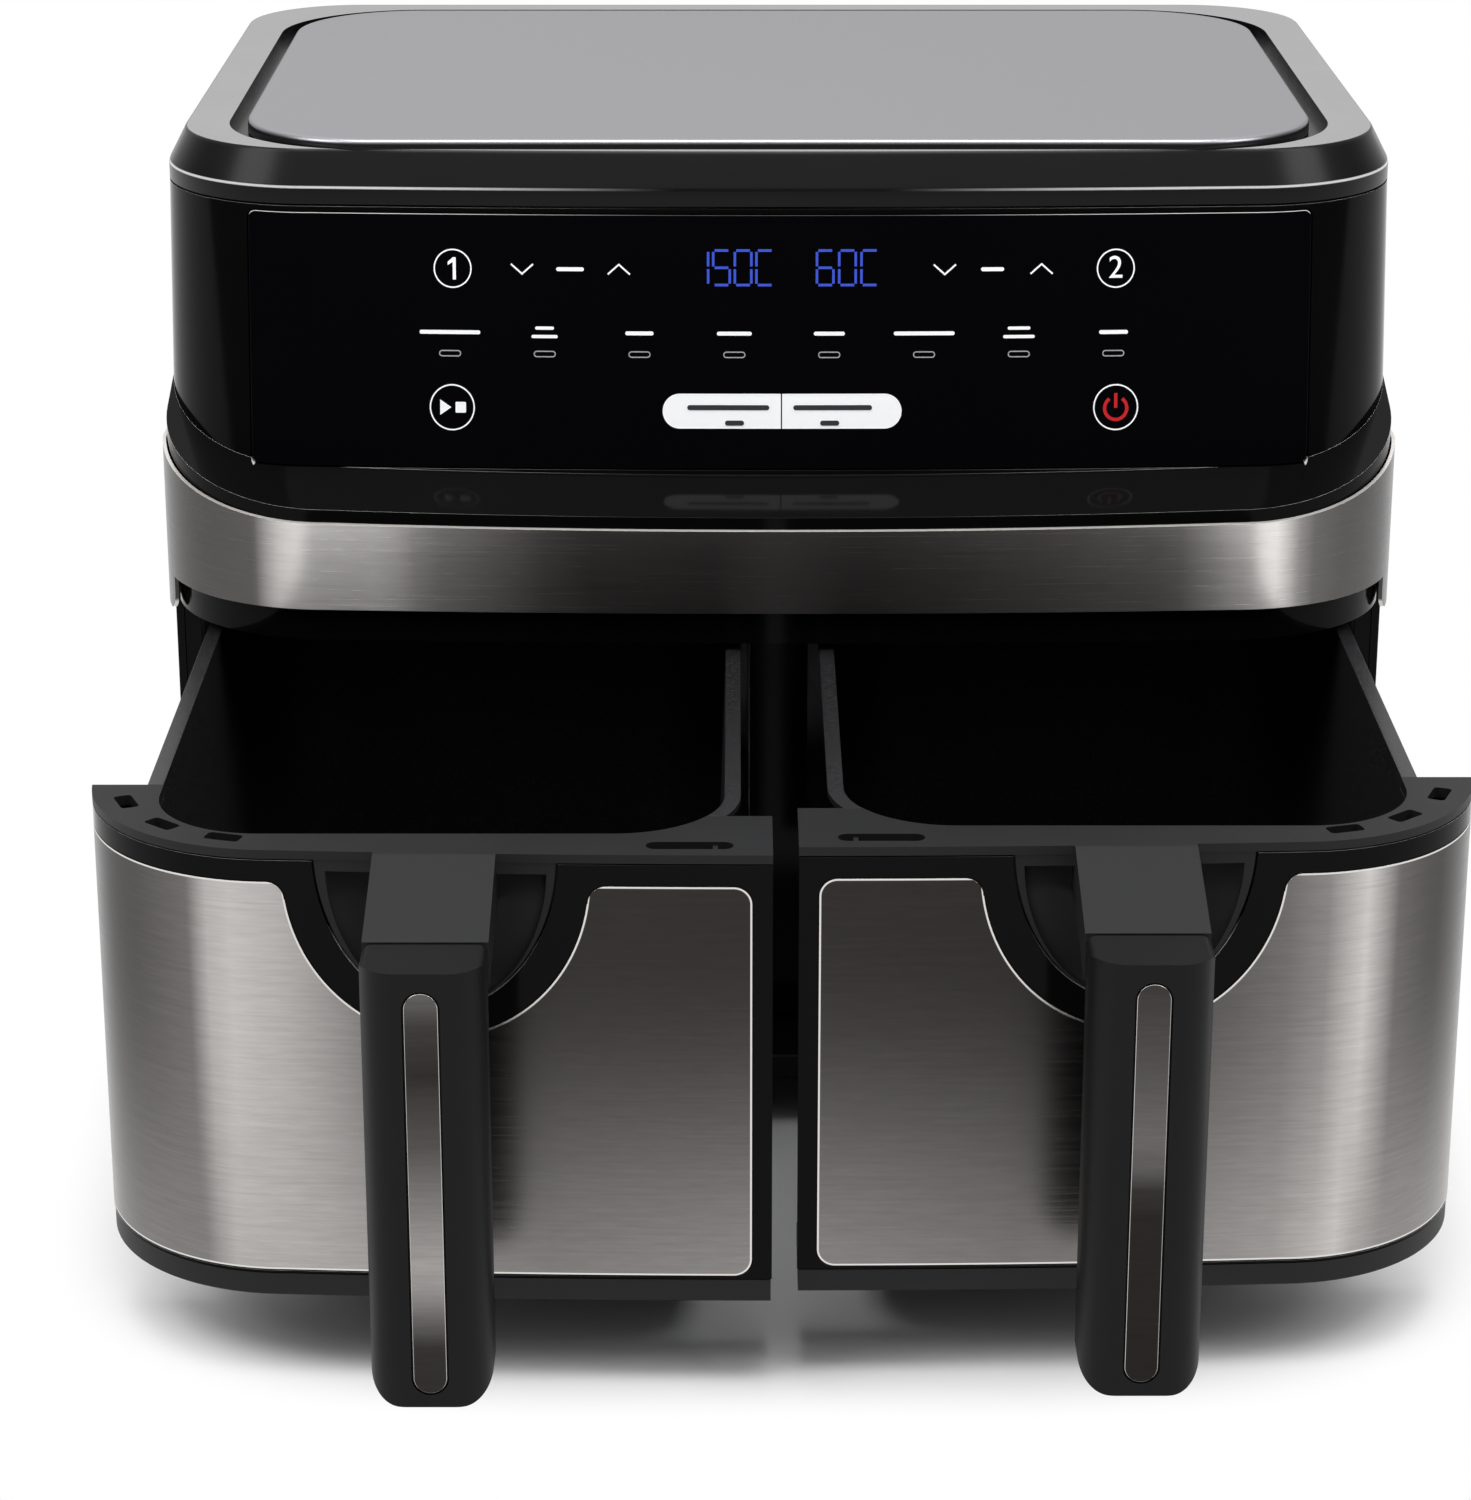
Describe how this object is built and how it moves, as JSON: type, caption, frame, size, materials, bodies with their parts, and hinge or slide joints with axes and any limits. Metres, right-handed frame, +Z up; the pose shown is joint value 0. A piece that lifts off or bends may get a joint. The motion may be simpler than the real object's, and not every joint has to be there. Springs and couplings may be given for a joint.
{
  "type": "air fryer",
  "caption": "Air fryer with side-by-side drawers under a sloping touch panel; the drawers slide, their crisper plates lift out and the fans turn.",
  "frame": {"origin": "on the table, under the middle of the whole object with its drawers part open as stored", "axes": "+Z up, +X to the right seen from the front, +Y from the drawer fronts to the back"},
  "size_m": [0.385, 0.5512, 0.3037],
  "materials": {
    "matte_plastic": "moulded, fine grain",
    "gloss_plastic": "high gloss black",
    "rubber": "matte black",
    "brushed_steel": "stainless, brushed along its length",
    "satin_steel": "fine satin",
    "touch_lens": "polished black with printed symbols",
    "sheet_metal": "mill",
    "bakelite": "moulded",
    "circuit_board": "green solder mask",
    "element_steel": "dark heater sheath",
    "motor_steel": "zinc plated",
    "cast_aluminium": "satin",
    "non_stick": "dark grey non-stick coating",
    "silicone": "soft matte"
  },
  "bodies": {
    "housing": {"base_pan": "matte_plastic", "foot_front_left": "rubber", "foot_rear_left": "rubber", "foot_front_right": "rubber", "foot_rear_right": "rubber", "outer_shell": "gloss_plastic", "rear_cover": "matte_plastic", "cord_gland": "rubber", "mouth_frame": "matte_plastic", "steel_band": "brushed_steel", "control_housing": "gloss_plastic", "control_lens": "touch_lens", "top_bezel": "matte_plastic", "top_plate": "satin_steel", "motor_deck": "sheet_metal", "display_module": "bakelite", "control_board": "circuit_board", "power_board": "circuit_board", "left_chamber_liner": "sheet_metal", "left_heater_guard": "satin_steel", "left_heating_element": "element_steel", "left_exhaust_duct": "sheet_metal", "left_fan_motor": "motor_steel", "left_thermal_cutout": "bakelite", "left_drawer_sensor": "bakelite", "right_chamber_liner": "sheet_metal", "right_heater_guard": "satin_steel", "right_heating_element": "element_steel", "right_exhaust_duct": "sheet_metal", "right_fan_motor": "motor_steel", "right_thermal_cutout": "bakelite", "right_drawer_sensor": "bakelite"},
    "left_drawer": {"left_basket": "non_stick", "left_drawer_carrier": "matte_plastic", "left_front_frame": "gloss_plastic", "left_front_steel": "brushed_steel", "left_handle_grip": "matte_plastic", "left_handle_inlay": "brushed_steel"},
    "right_drawer": {"right_basket": "non_stick", "right_drawer_carrier": "matte_plastic", "right_front_frame": "gloss_plastic", "right_front_steel": "brushed_steel", "right_handle_grip": "matte_plastic", "right_handle_inlay": "brushed_steel"},
    "left_plate": {"left_crisper_plate": "non_stick", "left_bumper_front": "silicone", "left_bumper_rear": "silicone", "left_bumper_inner": "silicone", "left_bumper_outer": "silicone"},
    "right_plate": {"right_crisper_plate": "non_stick", "right_bumper_front": "silicone", "right_bumper_rear": "silicone", "right_bumper_inner": "silicone", "right_bumper_outer": "silicone"},
    "left_fan": {"left_fan_shaft": "cast_aluminium", "left_convection_fan": "cast_aluminium", "left_cooling_fan": "bakelite"},
    "right_fan": {"right_fan_shaft": "cast_aluminium", "right_convection_fan": "cast_aluminium", "right_cooling_fan": "bakelite"}
  },
  "joints": [
    {"name": "left_drawer_slide", "type": "slide", "parent": "housing", "child": "left_drawer", "axis": [0, -1, 0], "range_m": [-0.1707, 0.035]},
    {"name": "right_drawer_slide", "type": "slide", "parent": "housing", "child": "right_drawer", "axis": [0, -1, 0], "range_m": [-0.1645, 0.041]},
    {"name": "left_plate_lift", "type": "slide", "parent": "left_drawer", "child": "left_plate", "axis": [0, 0, 1], "range_m": [0, 0.09]},
    {"name": "right_plate_lift", "type": "slide", "parent": "right_drawer", "child": "right_plate", "axis": [0, 0, 1], "range_m": [0, 0.09]},
    {"name": "left_fan_spin", "type": "hinge", "parent": "housing", "child": "left_fan", "pos_m": [-0.0961, 0.1247, 0.19], "axis": [0, 0, 1], "continuous": true},
    {"name": "right_fan_spin", "type": "hinge", "parent": "housing", "child": "right_fan", "pos_m": [0.0961, 0.1247, 0.19], "axis": [0, 0, 1], "continuous": true}
  ]
}
